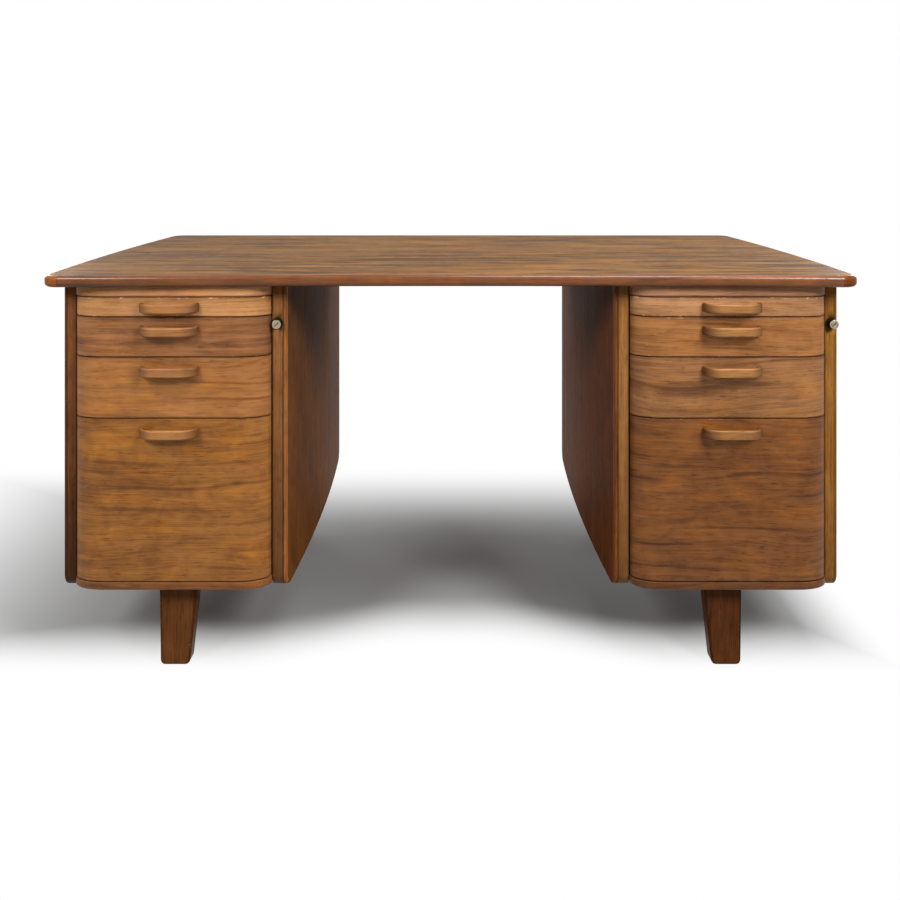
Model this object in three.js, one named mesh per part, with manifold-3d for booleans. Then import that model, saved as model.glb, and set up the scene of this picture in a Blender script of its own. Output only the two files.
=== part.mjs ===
// Twin-pedestal writing desk in varnished hardwood, modelled in millimetres with +Z up.
// The origin is on the floor below the middle of the top. The front faces -Y.
import * as THREE from "three";
import { mergeVertices } from "three/addons/utils/BufferGeometryUtils.js";
import Module from "manifold-3d";

const wasm = await Module();
wasm.setup();

// The whole desk
const deskWidth = 1550;
const deskDepth = 750;
const deskHeight = 760;
const seatGap = 0.3;
const overrun = 5;

// The top: a veneered board with solid lippings, hollow along the front, bowed at the ends
const topThickness = 22;
const topEndBow = 12;
const topFrontHollow = 13.5;
const topCornerRadius = 32;
const topEdgeRadius = 6;
const endLippingWidth = 32;
const frontLippingWidth = 23;
const rearLippingWidth = 20;

// The carcase of one pedestal, given for the one on the +X side
const pedestalInset = 31.5;
const pedestalWidth = 428.5;
const kneeholeNarrowing = 8.5;
const sideBow = 12.5;
const panelThickness = 6;
const panelEdgeRadius = 4;
const innerStileWidth = 21.4;
const outerStileWidth = 25.5;
const stileDepth = 28;
const stileEdgeRadius = 8;
const lowerCornerRadius = 26;
const rearInset = 16;
const sideBottom = 152;
const boardBottom = 162;
const boardThickness = 16;
const boardEdgeRadius = 6;
const backThickness = 10;
const railHeight = 20.3;
const rearRailHeight = 38;
const rearRailDepth = 18;

// The bent drawer fronts: flat in the middle, with an elliptic bend at each end
const frontSetback = 26;
const bendDepth = 28;
const bendWidth = 60;
const frontThickness = 18;
const frontReturn = 10;
const frontReturnThickness = 14;
const frontSideGap = 2;
const drawerGap = 2;
const drawerHeights = [35.6, 73.8, 113.4];

// The drawer boxes, hung on grooved sides
const trayClearance = 2;
const traySide = 14;
const trayBack = 12;
const trayBottom = 5;
const trayRise = 6;
const trayDrop = 8;
const trayRearSpace = 59;
const grooveHeight = 9;
const grooveDepth = 7.5;
const runnerReach = 6.4;
const runnerBoardThickness = 12;
const runnerSetback = 24;
const runnerRearSpace = 20;

// The handles: bentwood strips
const handleWidth = 112;
const handleProjection = 24.5;
const handleThickness = 7;
const handleHeight = 17;
const handleBend = 30;
const handleDrop = 23.5;

// The legs: tapered planks, nearly upright outside and slanting inside
const legSetback = 36;
const legInset = 218.5;
const legTopWidth = 74;
const legOuterTaper = 2;
const legInnerTaper = 16;
const legTopDepth = 33;
const legSoleDepth = 27;
const legCornerRadius = 8;
const legSoleRadius = 4;

// The push locks and the bars that they lift
const lockDrop = 76.2;
const plungerRadius = 8.5;
const plungerProjection = 14;
const plungerInside = 19;
const keySlotLength = 11;
const keySlotWidth = 1.8;
const keySlotDepth = 3;
const housingWall = 1.2;
const flangeRadius = 11.2;
const flangeThickness = 1.2;
const barWidth = 11;
const barThickness = 3;
const barEndSpace = 38;
const barSideGap = 1;
const pegReach = 1.6;
const pegHeight = 8;

// Steps that round stretches are drawn with
const edgeSteps = 14;
const cornerSteps = 5;
const bendSteps = 8;
const bevelSteps = 3;
const lockSteps = 28;

// Levels and planes that follow from the sizes above
const underside = deskHeight - topThickness;
const carcaseTop = underside - seatGap;
const topFrontY = -deskDepth / 2;
const flatFrontY = topFrontY + frontSetback;
const stripY = flatFrontY + bendDepth;
const stileBackY = stripY + stileDepth;
const carcaseRearY = deskDepth / 2 - rearInset;
const frontInnerY = flatFrontY + frontThickness;
const returnRearY = stripY + frontReturn;
const pedestalOuter = deskWidth / 2 - pedestalInset;
const kneeholeFrontHalf = pedestalOuter - pedestalWidth;
const kneeholeRearHalf = kneeholeFrontHalf - kneeholeNarrowing;
const innerStileX = kneeholeFrontHalf + panelThickness + seatGap;
const openingInner = innerStileX + innerStileWidth;
const openingOuter = pedestalOuter - outerStileWidth;
const openingMiddle = (openingInner + openingOuter) / 2;
const boardTop = boardBottom + boardThickness;
const railBottom = carcaseTop - railHeight;
const lockZ = carcaseTop - lockDrop;

const desk = new THREE.Group();

// Turns a closed three.js geometry into a solid that can be cut and joined.
function solidFrom(geometry) {
  const bare = geometry.clone();
  bare.deleteAttribute("normal");
  bare.deleteAttribute("uv");
  const merged = mergeVertices(bare);
  return new wasm.Manifold(
    new wasm.Mesh({
      numProp: 3,
      vertProperties: new Float32Array(merged.attributes.position.array),
      triVerts: new Uint32Array(merged.index.array),
    }),
  );
}

// Adds a solid to the desk as one named piece.
function addPiece(name, solid, material) {
  const mesh = solid.getMesh();
  const geometry = new THREE.BufferGeometry();
  geometry.setAttribute("position", new THREE.BufferAttribute(mesh.vertProperties, 3));
  geometry.setIndex(new THREE.BufferAttribute(mesh.triVerts, 1));
  geometry.computeVertexNormals();
  const piece = new THREE.Mesh(geometry, material());
  piece.name = name;
  desk.add(piece);
}

// A closed outline [[u, v], ...] drawn out to a depth, with an optional rounded edge.
function drawnOut(points, depth, edgeRadius = 0) {
  const shape = new THREE.Shape(points.map(([u, v]) => new THREE.Vector2(u, v)));
  return new THREE.ExtrudeGeometry(shape, {
    depth: depth - 2 * edgeRadius,
    bevelEnabled: edgeRadius > 0,
    bevelThickness: edgeRadius,
    bevelSize: edgeRadius,
    bevelOffset: -edgeRadius,
    bevelSegments: bevelSteps,
    steps: 1,
  }).translate(0, 0, edgeRadius);
}

// A plan outline, [[x, y], ...], raised from one level to another.
function raised(points, low, high, edgeRadius = 0) {
  return solidFrom(drawnOut(points, high - low, edgeRadius).translate(0, 0, low));
}

// A side outline, [[y, z], ...], drawn along X.
function alongX(points, low, high) {
  const axes = new THREE.Matrix4().makeBasis(
    new THREE.Vector3(0, 1, 0),
    new THREE.Vector3(0, 0, 1),
    new THREE.Vector3(1, 0, 0),
  );
  return solidFrom(drawnOut(points, high - low).applyMatrix4(axes).translate(low, 0, 0));
}

// A front outline, [[x, z], ...], drawn along Y.
function alongY(points, low, high) {
  const axes = new THREE.Matrix4().makeBasis(
    new THREE.Vector3(1, 0, 0),
    new THREE.Vector3(0, 0, 1),
    new THREE.Vector3(0, -1, 0),
  );
  return solidFrom(drawnOut(points, high - low).applyMatrix4(axes).translate(0, high, 0));
}

// A block between two values on each axis, given in either order.
function block([x0, x1], [y0, y1], [z0, z1]) {
  const size = [Math.abs(x1 - x0), Math.abs(y1 - y0), Math.abs(z1 - z0)];
  const box = new THREE.BoxGeometry(...size);
  return solidFrom(box.translate((x0 + x1) / 2, (y0 + y1) / 2, (z0 + z1) / 2));
}

// A turned shape whose axis lies along Y: profile [[radius, y], ...].
function turnedAlongY(profile, x, z) {
  const points = profile.map(([radius, y]) => new THREE.Vector2(radius, y));
  return solidFrom(new THREE.LatheGeometry(points, lockSteps).translate(x, 0, z));
}

// Even steps from one value to another, both included.
function span(from, to, steps) {
  return Array.from({ length: steps + 1 }, (_, k) => from + ((to - from) * k) / steps);
}

// A quarter of an ellipse from the start of one axis to the end of the other.
function quarter(centre, first, second, steps) {
  return span(0, Math.PI / 2, steps).map((angle) => [
    centre[0] + first[0] * Math.cos(angle) + second[0] * Math.sin(angle),
    centre[1] + first[1] * Math.cos(angle) + second[1] * Math.sin(angle),
  ]);
}

function mirrored(points, side) {
  return points.map(([x, y]) => [side * x, y]);
}

function wood(colour, roughness) {
  return () => new THREE.MeshStandardMaterial({ color: colour, roughness, metalness: 0 });
}

function metal(colour, roughness) {
  return () => new THREE.MeshStandardMaterial({ color: colour, roughness, metalness: 1 });
}

const topVeneer = wood(0x936c42, 0.42);
const lippingWood = wood(0x8a4f2a, 0.35);
const sideVeneer = wood(0x5a3b24, 0.45);
const stileWood = wood(0x8b6134, 0.42);
const frontColours = [0xc08a52, 0x7a4c30, 0x9a6a3e, 0x8c6032];
const frontWoods = frontColours.map((colour) => wood(colour, 0.42));
const handleWood = wood(0xa8713a, 0.4);
const legWood = wood(0x5c371f, 0.45);
const drawerWood = wood(0xc9a877, 0.6);
const frameWood = wood(0xb59468, 0.6);
const nickel = metal(0xb9b09a, 0.3);
const darkBrass = metal(0x3a3128, 0.45);
const steel = metal(0x8a8a88, 0.4);

// How far the top's end stands out at a depth y.
function topEndX(y) {
  return deskWidth / 2 - topEndBow * (y / (deskDepth / 2)) ** 2;
}

// How far forward the top's front edge lies at a place x.
function topEdgeY(x) {
  const hollowHalf = deskWidth / 2 - topEndBow - topCornerRadius;
  return topFrontY + topFrontHollow * (1 - (x / hollowHalf) ** 2);
}

// The top's plan outline, with its four corners rounded.
function topOutline() {
  const half = deskWidth / 2 - topEndBow;
  const r = topCornerRadius;
  const rearY = deskDepth / 2;
  const front = span(0, half - r, edgeSteps).map((x) => [x, topEdgeY(x)]);
  const end = span(topFrontY + r, rearY - r, edgeSteps).map((y) => [topEndX(y), y]);
  const rounded = (from, corner, to) =>
    new THREE.QuadraticBezierCurve(
      new THREE.Vector2(...from),
      new THREE.Vector2(...corner),
      new THREE.Vector2(...to),
    )
      .getPoints(cornerSteps)
      .slice(1, -1)
      .map((point) => [point.x, point.y]);
  const right = [
    ...front,
    ...rounded(front.at(-1), [half, topFrontY], end[0]),
    ...end,
    ...rounded(end.at(-1), [half, rearY], [half - r, rearY]),
    [half - r, rearY],
  ];
  const left = mirrored(right.slice(1), -1).reverse();
  return [...right, ...left];
}

// The top is shaped whole and then parted along its seams, as the lippings meet the board.
function buildTop() {
  const whole = raised(topOutline(), underside, deskHeight, topEdgeRadius);
  const seamX = deskWidth / 2 - topEndBow - endLippingWidth;
  const frontSeamY = topFrontY + frontLippingWidth;
  const rearSeamY = deskDepth / 2 - rearLippingWidth;
  const outX = deskWidth / 2 + overrun;
  const outY = deskDepth / 2 + overrun;
  const tall = [underside - overrun, deskHeight + overrun];
  const part = (xs, ys) => whole.intersect(block(xs, ys, tall));
  addPiece("top_panel", part([-seamX, seamX], [frontSeamY, rearSeamY]), topVeneer);
  addPiece("top_lipping_front", part([-seamX, seamX], [-outY, frontSeamY - seatGap]), lippingWood);
  addPiece("top_lipping_rear", part([-seamX, seamX], [rearSeamY + seatGap, outY]), lippingWood);
  addPiece("top_lipping_left", part([-outX, -seamX - seatGap], [-outY, outY]), lippingWood);
  addPiece("top_lipping_right", part([seamX + seatGap, outX], [-outY, outY]), lippingWood);
}

// The bow of a pedestal's side at a depth y: none at its ends, full in the middle.
function bowAt(y) {
  const middle = (stripY + carcaseRearY) / 2;
  const half = (carcaseRearY - stripY) / 2;
  return sideBow * (1 - ((y - middle) / half) ** 2);
}

const outerX = (y) => pedestalOuter + bowAt(y);

// The face towards the kneehole, which narrows a little to the rear.
function kneeholeX(y) {
  const share = (y - stripY) / (carcaseRearY - stripY);
  return kneeholeFrontHalf + (kneeholeRearHalf - kneeholeFrontHalf) * share - bowAt(y);
}

// A bowed strip between two depths: from one bowed face to another or to a flat one.
function bowedPlan(faceA, faceB, y0, y1) {
  const steps = span(y0, y1, edgeSteps);
  return [...steps.map((y) => [faceA(y), y]), ...steps.map((y) => [faceB(y), y]).reverse()];
}

// Seen from the side: an upright board whose chosen lower corners are rounded.
function sideOutline(y0, y1, low, high, roundRear) {
  const r = lowerCornerRadius;
  const front = quarter([y0 + r, low + r], [-r, 0], [0, -r], cornerSteps);
  const rear = roundRear ? quarter([y1 - r, low + r], [0, -r], [r, 0], cornerSteps) : [[y1, low]];
  return [[y0, high], ...front, ...rear, [y1, high]];
}

// The stretch in X that holds the whole of one pedestal.
function reachX(side) {
  const far = pedestalOuter + sideBow + overrun;
  return side > 0 ? [0, far] : [-far, 0];
}

// The inner side panel: bowed into the kneehole, its front arris rounded.
function innerSidePanel(side) {
  const r = panelEdgeRadius;
  const arris = quarter(
    [kneeholeX(stripY + r) + r, stripY + r],
    [0, -r],
    [-r, 0],
    cornerSteps,
  );
  const back = (y) => kneeholeX(y) + panelThickness;
  const depths = span(stripY + r, carcaseRearY, edgeSteps);
  const plan = [
    ...arris,
    ...depths.slice(1).map((y) => [kneeholeX(y), y]),
    ...span(stripY, carcaseRearY, edgeSteps)
      .map((y) => [back(y), y])
      .reverse(),
  ];
  const profile = sideOutline(stripY, carcaseRearY, sideBottom, carcaseTop, true);
  return raised(mirrored(plan, side), sideBottom, carcaseTop).intersect(alongX(profile, ...reachX(side)));
}

// The outer side panel butts against the back of the outer stile.
function outerSidePanel(side) {
  const y0 = stileBackY + seatGap;
  const inner = (y) => outerX(y) - panelThickness;
  const plan = bowedPlan(inner, outerX, y0, carcaseRearY);
  const r = lowerCornerRadius;
  const rear = quarter([carcaseRearY - r, sideBottom + r], [0, -r], [r, 0], cornerSteps);
  const profile = [
    [y0 - overrun, carcaseTop],
    [y0 - overrun, sideBottom],
    ...rear,
    [carcaseRearY, carcaseTop],
  ];
  return raised(mirrored(plan, side), sideBottom, carcaseTop).intersect(alongX(profile, ...reachX(side)));
}

const lockRadius = plungerRadius + seatGap + housingWall;

// The middle of the lock on a pedestal: on the stile at its +X side.
function lockX(side) {
  const inner = innerStileX + innerStileWidth / 2;
  const outer = openingOuter + outerStileWidth / 2;
  return side > 0 ? outer : -inner;
}

// An upright stile, with the bore of the lock where it carries one.
function stile(side, isOuter) {
  const r = stileEdgeRadius;
  const bevelled = [
    [openingOuter, stripY],
    ...quarter([outerX(stripY + r) - r, stripY + r], [0, -r], [r, 0], cornerSteps),
    [outerX(stileBackY), stileBackY],
    [openingOuter, stileBackY],
  ];
  const joint = (y) => kneeholeX(y) + panelThickness + seatGap;
  const plain = [
    [openingInner, stileBackY],
    [openingInner, stripY],
    [joint(stripY), stripY],
    [joint(stileBackY), stileBackY],
  ];
  const plan = isOuter ? bevelled : plain;
  const profile = sideOutline(stripY, stileBackY, sideBottom, carcaseTop, false);
  const whole = raised(mirrored(plan, side), sideBottom, carcaseTop);
  const post = whole.intersect(alongX(profile, ...reachX(side)));
  const carriesLock = isOuter === side > 0;
  if (!carriesLock) return post;
  const bore = lockRadius + seatGap;
  const cut = turnedAlongY(
    [
      [0, stripY - overrun],
      [bore, stripY - overrun],
      [bore, stileBackY + overrun],
      [0, stileBackY + overrun],
    ],
    lockX(side),
    lockZ,
  );
  return post.subtract(cut);
}

// Half the plan of a bent front, from its middle to its end: the outer face, then the inner one.
function bentHalf(halfWidth) {
  const outer = quarter([halfWidth - bendWidth, stripY], [0, -bendDepth], [bendWidth, 0], bendSteps);
  const bend = bendWidth - frontReturnThickness;
  const innerDepth = returnRearY - frontInnerY;
  const inner = quarter(
    [halfWidth - bendWidth, returnRearY],
    [bend, 0],
    [0, -innerDepth],
    bendSteps,
  );
  return [...outer, [halfWidth, returnRearY], ...inner];
}

// The plan of a bent front or apron, closed, about the middle of the drawer opening.
function bentPlan(halfWidth, side) {
  const half = bentHalf(halfWidth);
  const other = mirrored(half, -1).reverse();
  return mirrored(
    [...half, ...other].map(([x, y]) => [openingMiddle + x, y]),
    side,
  );
}

const openingHalf = (openingOuter - openingInner) / 2;
const frontHalf = openingHalf - frontSideGap;
const apronHalf = openingHalf - seatGap;

// The levels of the drawers from the top one down, the last filling what is left.
function drawerLevels() {
  const levels = [];
  let high = railBottom - drawerGap;
  for (const height of drawerHeights) {
    levels.push([high - height, high]);
    high -= height + drawerGap;
  }
  levels.push([boardTop + drawerGap, high]);
  return levels;
}

const levels = drawerLevels();

function trayLevels([low, high]) {
  return [low + trayRise, high - trayDrop];
}

// The bottom board follows the bent fronts and then widens behind the stiles.
function bottomBoard(side) {
  const half = apronHalf;
  const outer = quarter([half - bendWidth, stripY], [0, -bendDepth], [bendWidth, 0], bendSteps);
  const shoulderY = stileBackY + seatGap;
  const rearY = carcaseRearY - backThickness - seatGap;
  const depths = span(shoulderY, rearY, edgeSteps);
  const outside = depths.map((y) => [outerX(y) - panelThickness - seatGap, y]);
  const inside = depths.map((y) => [kneeholeX(y) + panelThickness + seatGap, y]).reverse();
  const bend = outer.map(([x, y]) => [openingMiddle + x, y]);
  const otherBend = outer.map(([x, y]) => [openingMiddle - x, y]).reverse();
  const plan = [
    ...bend,
    [openingMiddle + half, shoulderY],
    ...outside,
    ...inside,
    [openingMiddle - half, shoulderY],
    ...otherBend,
  ];
  const tall = raised(mirrored(plan, side), boardBottom, boardTop + boardEdgeRadius, boardEdgeRadius);
  return tall.intersect(
    block(reachX(side), [topFrontY, deskDepth / 2], [boardBottom - overrun, boardTop]),
  );
}

function topRail(side) {
  return raised(bentPlan(apronHalf, side), railBottom, carcaseTop);
}

function rearRail(side) {
  const y1 = carcaseRearY - backThickness - seatGap;
  const xs = [side * (openingInner + seatGap), side * (openingOuter - seatGap)];
  return block(xs, [y1 - rearRailDepth, y1], [carcaseTop - rearRailHeight, carcaseTop]);
}

function backPanel(side) {
  const y0 = carcaseRearY - backThickness;
  const inner = (y) => kneeholeX(y) + panelThickness + seatGap;
  const outer = (y) => outerX(y) - panelThickness - seatGap;
  const plan = [
    [inner(y0), y0],
    [outer(y0), y0],
    [outer(carcaseRearY), carcaseRearY],
    [inner(carcaseRearY), carcaseRearY],
  ];
  return raised(mirrored(plan, side), boardBottom, carcaseTop);
}

// The board beside a stack of drawers, with a runner for each of them.
function runnerBoard(side, isOuter) {
  const opening = isOuter ? openingOuter : openingInner;
  const away = isOuter ? 1 : -1;
  const at = (x) => side * (opening + away * x);
  const firstY = stileBackY + runnerSetback;
  const lastY = carcaseRearY - backThickness - seatGap - runnerRearSpace;
  const board = block(
    [at(seatGap), at(seatGap + runnerBoardThickness)],
    [firstY, lastY],
    [boardTop + seatGap, carcaseTop],
  );
  const runnerHalf = grooveHeight / 2 - seatGap;
  return levels.reduce((joined, level) => {
    const [low, high] = trayLevels(level);
    const middle = (low + high) / 2;
    const reach = [at(-trayClearance - runnerReach), at(seatGap + runnerBoardThickness)];
    return joined.add(block(reach, [firstY, lastY], [middle - runnerHalf, middle + runnerHalf]));
  }, board);
}

// A tapered plank leg: its front outline cut to its side outline.
function leg(side, isRear) {
  const top = boardBottom - seatGap;
  const outerTop = pedestalOuter - legInset + legTopWidth / 2;
  const innerTop = outerTop - legTopWidth;
  const outerSole = outerTop - legOuterTaper;
  const innerSole = innerTop + legInnerTaper;
  const r = legCornerRadius;
  const face = [
    [outerTop, top],
    [innerTop, top],
    ...quarter([innerSole + r, r], [-r, 0], [0, -r], cornerSteps),
    ...quarter([outerSole - r, r], [0, -r], [r, 0], cornerSteps),
  ];
  const front = flatFrontY + legSetback;
  const e = legSoleRadius;
  const edge = [
    [front, top],
    ...quarter([front + e, e], [-e, 0], [0, -e], bevelSteps),
    ...quarter([front + legSoleDepth - e, e], [0, -e], [e, 0], bevelSteps),
    [front + legTopDepth, top],
  ];
  const turn = isRear ? -1 : 1;
  const sideways = edge.map(([y, z]) => [turn * y, z]);
  const ys = isRear ? [-front - legTopDepth, -front] : [front, front + legTopDepth];
  const xs = side > 0 ? [innerTop, outerTop] : [-outerTop, -innerTop];
  return alongY(mirrored(face, side), ys[0] - overrun, ys[1] + overrun).intersect(
    alongX(sideways, xs[0] - overrun, xs[1] + overrun),
  );
}

// The grooved box of a drawer, open at the front, where the bent front closes it.
function drawerTray(side, level) {
  const [low, high] = trayLevels(level);
  const half = openingHalf - trayClearance;
  const at = (x) => side * (openingMiddle + x);
  const frontY = returnRearY + seatGap;
  const rearY = carcaseRearY - trayRearSpace;
  const inside = half - traySide;
  const shell = block([at(-half), at(half)], [frontY, rearY], [low, high]);
  const hollow = block(
    [at(-inside), at(inside)],
    [frontY - overrun, rearY - trayBack],
    [low + trayBottom, high + overrun],
  );
  const tongueHalf = frontHalf - bendWidth;
  const tongue = block(
    [at(-tongueHalf), at(tongueHalf)],
    [frontInnerY + seatGap, frontY + overrun],
    [low, low + trayBottom],
  );
  const middle = (low + high) / 2;
  const groove = (end) =>
    block(
      [at(end * (half - grooveDepth)), at(end * (half + overrun))],
      [frontY - overrun, rearY + overrun],
      [middle - grooveHeight / 2, middle + grooveHeight / 2],
    );
  return shell.subtract(hollow).add(tongue).subtract(groove(1)).subtract(groove(-1));
}

function drawerFront(side, [low, high]) {
  return raised(bentPlan(frontHalf, side), low, high);
}

// A bentwood strip: straight along the front, bent back to the drawer at both ends.
function handle(side, [low, high]) {
  const z = high - Math.min(handleDrop, (high - low) / 2);
  const half = handleWidth / 2;
  const seatY = flatFrontY - seatGap;
  const outer = quarter([half - handleBend, seatY], [0, -handleProjection], [handleBend, 0], bendSteps);
  const t = handleThickness;
  const inner = quarter(
    [half - handleBend, seatY],
    [handleBend - t, 0],
    [0, t - handleProjection],
    bendSteps,
  );
  const bow = [...outer, ...inner];
  const plan = [...bow, ...mirrored(bow, -1).reverse()].map(([x, y]) => [openingMiddle + x, y]);
  return raised(mirrored(plan, side), z - handleHeight / 2, z + handleHeight / 2);
}

function lockHousing(side) {
  const inner = plungerRadius + seatGap;
  const faceY = stripY - seatGap;
  const profile = [
    [inner, faceY - flangeThickness],
    [flangeRadius, faceY - flangeThickness],
    [flangeRadius, faceY],
    [lockRadius, faceY],
    [lockRadius, stileBackY],
    [inner, stileBackY],
    [inner, faceY - flangeThickness],
  ];
  return turnedAlongY(profile, lockX(side), lockZ);
}

// The plunger of a lock, with a slanting key slot in its face.
function lockPlunger(side) {
  const faceY = stripY - plungerProjection;
  const rearY = stripY + plungerInside;
  const r = plungerRadius;
  const body = turnedAlongY(
    [
      [0, faceY],
      [r, faceY],
      [r, rearY],
      [0, rearY],
    ],
    lockX(side),
    lockZ,
  );
  const slot = new THREE.BoxGeometry(keySlotLength, 2 * keySlotDepth, keySlotWidth)
    .rotateY(-Math.PI / 4)
    .translate(lockX(side), faceY, lockZ);
  return body.subtract(solidFrom(slot));
}

// The upright bar behind a lock's stile, with a peg for each drawer.
function lockBar(side) {
  const opening = side > 0 ? openingOuter : openingInner;
  const away = side > 0 ? 1 : -1;
  const nearX = opening + away * barSideGap;
  const y0 = stileBackY + seatGap;
  const y1 = y0 + barThickness;
  const at = (x) => side * x;
  const strip = block(
    [at(nearX), at(nearX + away * barWidth)],
    [y0, y1],
    [boardTop + barEndSpace, carcaseTop - barEndSpace / 2],
  );
  return levels.reduce((bar, level) => {
    const [low, high] = trayLevels(level);
    const z = (low + high) / 2;
    const peg = block(
      [at(nearX - away * pegReach), at(nearX + away * pegReach)],
      [y0, y1 + barThickness],
      [z - pegHeight / 2, z + pegHeight / 2],
    );
    return bar.add(peg);
  }, strip);
}

function buildPedestal(side, hand) {
  addPiece(`${hand}_inner_side_panel`, innerSidePanel(side), sideVeneer);
  addPiece(`${hand}_outer_side_panel`, outerSidePanel(side), sideVeneer);
  addPiece(`${hand}_inner_stile`, stile(side, false), stileWood);
  addPiece(`${hand}_outer_stile`, stile(side, true), stileWood);
  addPiece(`${hand}_top_rail`, topRail(side), stileWood);
  addPiece(`${hand}_rear_rail`, rearRail(side), frameWood);
  addPiece(`${hand}_bottom_board`, bottomBoard(side), stileWood);
  addPiece(`${hand}_back_panel`, backPanel(side), sideVeneer);
  addPiece(`${hand}_inner_runner_board`, runnerBoard(side, false), frameWood);
  addPiece(`${hand}_outer_runner_board`, runnerBoard(side, true), frameWood);
  addPiece(`${hand}_front_leg`, leg(side, false), legWood);
  addPiece(`${hand}_rear_leg`, leg(side, true), legWood);
  addPiece(`${hand}_lock_housing`, lockHousing(side), darkBrass);
  addPiece(`${hand}_lock_plunger`, lockPlunger(side), nickel);
  addPiece(`${hand}_lock_bar`, lockBar(side), steel);
  levels.forEach((level, k) => {
    addPiece(`${hand}_drawer_${k + 1}_front`, drawerFront(side, level), frontWoods[k]);
    addPiece(`${hand}_drawer_${k + 1}_tray`, drawerTray(side, level), drawerWood);
    addPiece(`${hand}_drawer_${k + 1}_handle`, handle(side, level), handleWood);
  });
}

buildTop();
buildPedestal(-1, "left");
buildPedestal(1, "right");

export default desk;
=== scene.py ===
# Twin-pedestal writing desk of varnished hardwood, in metres, with its front facing -Y
import bmesh
import bpy
import numpy as np
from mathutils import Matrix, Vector


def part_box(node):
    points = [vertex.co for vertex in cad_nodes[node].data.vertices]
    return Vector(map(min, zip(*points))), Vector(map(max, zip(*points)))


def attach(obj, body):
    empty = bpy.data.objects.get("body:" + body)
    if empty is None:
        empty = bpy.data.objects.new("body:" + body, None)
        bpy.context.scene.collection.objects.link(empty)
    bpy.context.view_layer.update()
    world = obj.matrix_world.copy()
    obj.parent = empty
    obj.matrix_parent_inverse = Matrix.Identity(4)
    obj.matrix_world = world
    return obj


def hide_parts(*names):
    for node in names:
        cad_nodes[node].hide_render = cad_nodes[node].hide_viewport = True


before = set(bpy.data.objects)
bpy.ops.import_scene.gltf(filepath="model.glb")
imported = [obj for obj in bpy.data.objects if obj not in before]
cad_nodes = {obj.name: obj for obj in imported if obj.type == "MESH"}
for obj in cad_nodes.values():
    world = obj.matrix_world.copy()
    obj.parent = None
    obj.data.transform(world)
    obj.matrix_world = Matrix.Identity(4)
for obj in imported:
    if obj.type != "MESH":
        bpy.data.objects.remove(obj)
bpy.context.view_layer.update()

# The studio
# A pale floor fades into a white backdrop. A level camera, its lens shifted down, looks at the
# front. Two soft lamps stand in front, one hangs overhead and two light the sides and the back.
camera_place = (0, -1.886, 0.990)
lens_length = 32.6
sensor_width = 36
across_shift_share = -0.0007
down_shift_share = -0.331
floor_half = 30
floor_grey = 0.38
bounce_grey = 0.3
fade_sides = {
    "front": {"axis": 1, "turn": -1, "start": 0.15, "end": 0.34, "painted_light_advance": 0.09},
    "rear": {"axis": 1, "turn": 1, "start": 0.2, "end": 0.68, "painted_light_advance": 0},
    "left": {"axis": 0, "turn": -1, "start": 0.65, "end": 1.55, "painted_light_advance": 0},
    "right": {"axis": 0, "turn": 1, "start": 0.7, "end": 0.88, "painted_light_advance": 0},
}
full_painted_light_half = 0.05
no_painted_light_half = 0.45
ambient_strength = 0.07
lamps = {
    "front_right": {"place": (1.5, -1.8, 1.9), "aim": (0, 0, 0.45), "size": 0.8, "power": 48},
    "front_left": {"place": (-1.45, -1.6, 1.75), "aim": (-0.2, 0, 0.45), "size": 0.8, "power": 30},
    "overhead": {"place": (0.6, -0.8, 2.6), "aim": (0.4, -0.3, 0), "size": 1.2, "power": 50},
    "rear_right": {"place": (2.2, 1.6, 1.3), "aim": (0.3, 0, 0.45), "size": 0.8, "power": 28},
    "rear_left": {"place": (-2.2, 1.6, 1.3), "aim": (-0.3, 0, 0.45), "size": 0.8, "power": 28},
}
white = (1, 1, 1, 1)


class Value:
    """One output of a material's nodes. Arithmetic on it is worked out by Math nodes."""

    def __init__(self, finish, socket):
        self.finish = finish
        self.socket = socket

    def math(self, operation, *terms):
        return self.finish.node("ShaderNodeMath", {"operation": operation}, dict(enumerate(terms)))

    def __add__(self, other):
        return self.math("ADD", self, other)

    def __sub__(self, other):
        return self.math("SUBTRACT", self, other)

    def __mul__(self, other):
        return self.math("MULTIPLY", self, other)

    def __truediv__(self, other):
        return self.math("DIVIDE", self, other)

    def __pow__(self, other):
        return self.math("POWER", self, other)

    def __rsub__(self, other):
        return self.math("SUBTRACT", other, self)

    __radd__ = __add__
    __rmul__ = __mul__

    def sine(self):
        return self.math("SINE", self)

    def floor(self):
        return self.math("FLOOR", self)

    def absolute(self):
        return self.math("ABSOLUTE", self)

    def maximum(self, other):
        return self.math("MAXIMUM", self, other)

    def rising(self, low, high):
        """0 below low, 1 above high, and a smooth rise between them."""
        inputs = {"Value": self, "From Min": low, "From Max": high}
        return self.finish.node("ShaderNodeMapRange", {"interpolation_type": "SMOOTHSTEP"}, inputs)


class Finish:
    """The nodes of a material or of the backdrop, all made by one method."""

    def __init__(self, owner):
        owner.use_nodes = True
        self.owner = owner
        self.tree = owner.node_tree
        self.tree.nodes.clear()

    def node(self, kind, settings, inputs, output=0):
        """Makes a node: its settings are set first, then each socket gets its value or link."""
        made = self.tree.nodes.new(kind)
        for key, value in settings.items():
            if key == "stops":
                set_stops(made.color_ramp, value)
            else:
                setattr(made, key, value)
        for key, value in inputs.items():
            if isinstance(value, Value):
                self.tree.links.new(value.socket, made.inputs[key])
            else:
                made.inputs[key].default_value = value
        return Value(self, made.outputs[output])

    def closed(self, shader, kind="ShaderNodeOutputMaterial"):
        """Ends the nodes with their surface shader."""
        end = self.tree.nodes.new(kind)
        self.tree.links.new(shader.socket, end.inputs["Surface"])
        return self.owner


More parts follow.
